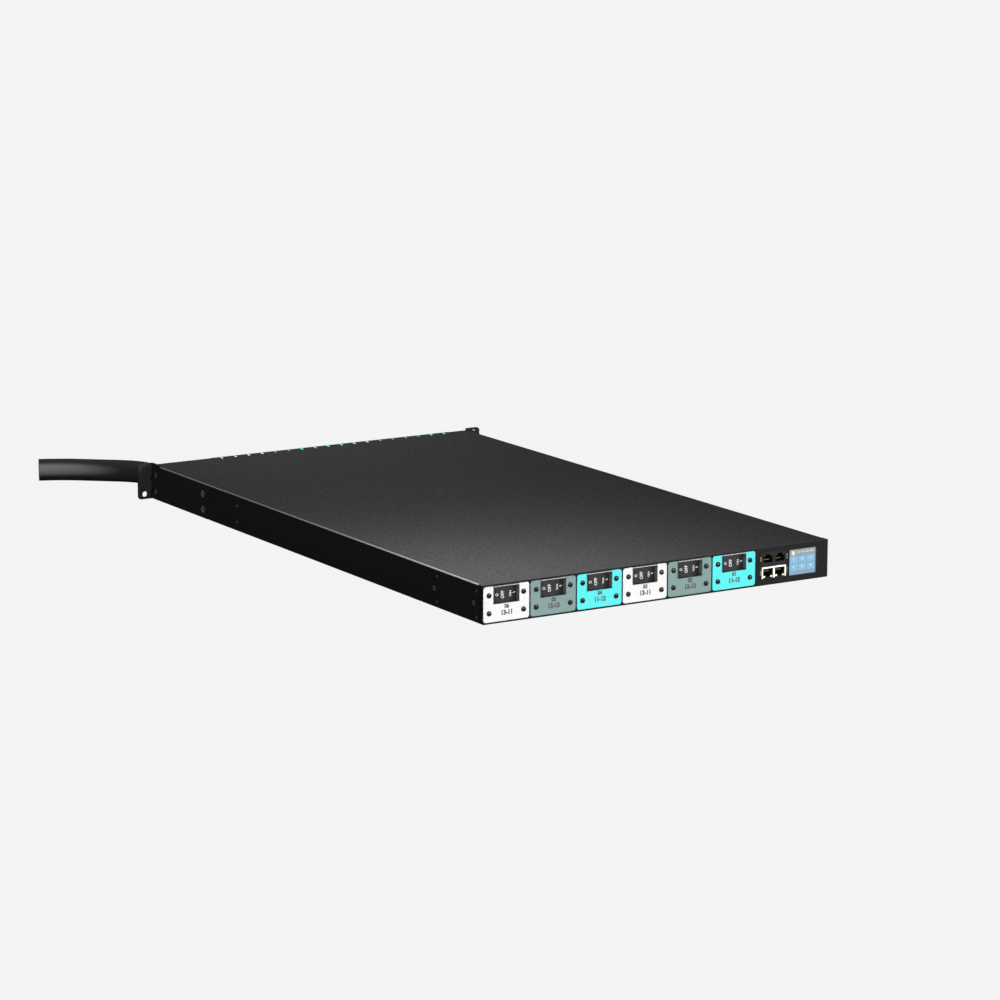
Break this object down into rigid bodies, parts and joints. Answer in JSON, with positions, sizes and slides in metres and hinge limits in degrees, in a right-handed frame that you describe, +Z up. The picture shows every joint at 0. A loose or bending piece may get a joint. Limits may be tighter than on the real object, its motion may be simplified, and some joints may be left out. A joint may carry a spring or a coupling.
{
  "type": "power distribution unit",
  "caption": "Rack-mount power distribution unit: rocker breakers, data jacks and a colour display in front, a row of outlets, rack ears and a thick cord stub behind.",
  "frame": {"origin": "middle of the chassis underside", "axes": "+X to the right along the breaker front, +Y from the breaker front to the outlet rear, +Z up"},
  "size_m": [0.5403, 0.9549, 0.0441],
  "materials": {
    "cover_coat": "fine textured powder coat, dark grey",
    "frame_coat": "fine textured powder coat, black",
    "ear_coat": "satin black",
    "label_white": "printed label, white",
    "label_grey": "printed label, grey green",
    "label_blue": "printed label, light blue",
    "breaker_plastic": "moulded black",
    "rocker_plastic": "satin black",
    "stud_metal": "plated",
    "screw_black": "black oxide",
    "jack_shield": "tinned shield",
    "jack_plastic": "moulded black",
    "contact_metal": "gold flash",
    "light_pipe": "clear light pipe",
    "display_glass": "clear lens",
    "display_face": "lit display",
    "board_green": "solder mask",
    "outlet_white": "moulded white",
    "outlet_grey": "moulded grey green",
    "outlet_blue": "moulded light blue",
    "bezel_plastic": "moulded black",
    "rivet_metal": "painted over",
    "insert_metal": "plain",
    "gland_plastic": "moulded nylon, black",
    "cord_rubber": "rubber jacket, black",
    "supply_metal": "plain folded aluminium",
    "block_plastic": "moulded off-white",
    "lead_black": "lead insulation, black"
  },
  "bodies": {
    "chassis": {"base_tray": "frame_coat", "top_cover": "cover_coat", "front_frame": "frame_coat", "rear_panel": "frame_coat", "label_plate_1": "label_white", "label_plate_2": "label_grey", "label_plate_3": "label_blue", "label_plate_4": "label_white", "label_plate_5": "label_grey", "label_plate_6": "label_blue", "breaker_1": "breaker_plastic", "breaker_2": "breaker_plastic", "breaker_3": "breaker_plastic", "breaker_4": "breaker_plastic", "breaker_5": "breaker_plastic", "breaker_6": "breaker_plastic", "plate_screws": "screw_black", "breaker_studs": "stud_metal", "network_jacks": "jack_plastic", "jack_shields": "jack_shield", "jack_lights": "light_pipe", "sensor_jacks": "jack_plastic", "jack_contacts": "contact_metal", "display_lens": "display_glass", "display_panel": "display_face", "controller_board": "board_green", "outlet_1": "outlet_white", "outlet_2": "outlet_white", "outlet_3": "outlet_grey", "outlet_4": "outlet_blue", "outlet_5": "outlet_blue", "outlet_6": "outlet_white", "outlet_7": "outlet_grey", "outlet_8": "outlet_grey", "outlet_9": "outlet_blue", "outlet_contacts": "contact_metal", "outlet_bezel": "bezel_plastic", "rack_ear_left": "ear_coat", "rack_ear_right": "ear_coat", "leg_screws": "screw_black", "side_rivets": "rivet_metal", "side_inserts": "insert_metal", "strain_relief": "gland_plastic", "gland_locknut": "gland_plastic", "power_cord": "cord_rubber", "metering_board": "board_green", "board_standoffs": "stud_metal", "current_sensors": "jack_plastic", "controller_supply": "supply_metal", "terminal_block": "block_plastic", "input_leads": "lead_black", "line_leads": "lead_black", "branch_leads": "lead_black"},
    "rocker_1": {"rocker_1": "rocker_plastic"},
    "rocker_2": {"rocker_2": "rocker_plastic"},
    "rocker_3": {"rocker_3": "rocker_plastic"},
    "rocker_4": {"rocker_4": "rocker_plastic"},
    "rocker_5": {"rocker_5": "rocker_plastic"},
    "rocker_6": {"rocker_6": "rocker_plastic"}
  },
  "joints": [
    {"name": "rocker_1_tilt", "type": "hinge", "parent": "chassis", "child": "rocker_1", "pos_m": [-0.19385, -0.378, 0.03043], "axis": [0, 0, -1], "range_deg": [0, 12]},
    {"name": "rocker_2_tilt", "type": "hinge", "parent": "chassis", "child": "rocker_2", "pos_m": [-0.13589, -0.378, 0.03043], "axis": [0, 0, -1], "range_deg": [0, 12]},
    {"name": "rocker_3_tilt", "type": "hinge", "parent": "chassis", "child": "rocker_3", "pos_m": [-0.07793, -0.378, 0.03043], "axis": [0, 0, -1], "range_deg": [0, 12]},
    {"name": "rocker_4_tilt", "type": "hinge", "parent": "chassis", "child": "rocker_4", "pos_m": [-0.01997, -0.378, 0.03043], "axis": [0, 0, -1], "range_deg": [0, 12]},
    {"name": "rocker_5_tilt", "type": "hinge", "parent": "chassis", "child": "rocker_5", "pos_m": [0.03799, -0.378, 0.03043], "axis": [0, 0, -1], "range_deg": [0, 12]},
    {"name": "rocker_6_tilt", "type": "hinge", "parent": "chassis", "child": "rocker_6", "pos_m": [0.09595, -0.378, 0.03043], "axis": [0, 0, -1], "range_deg": [0, 12]}
  ]
}
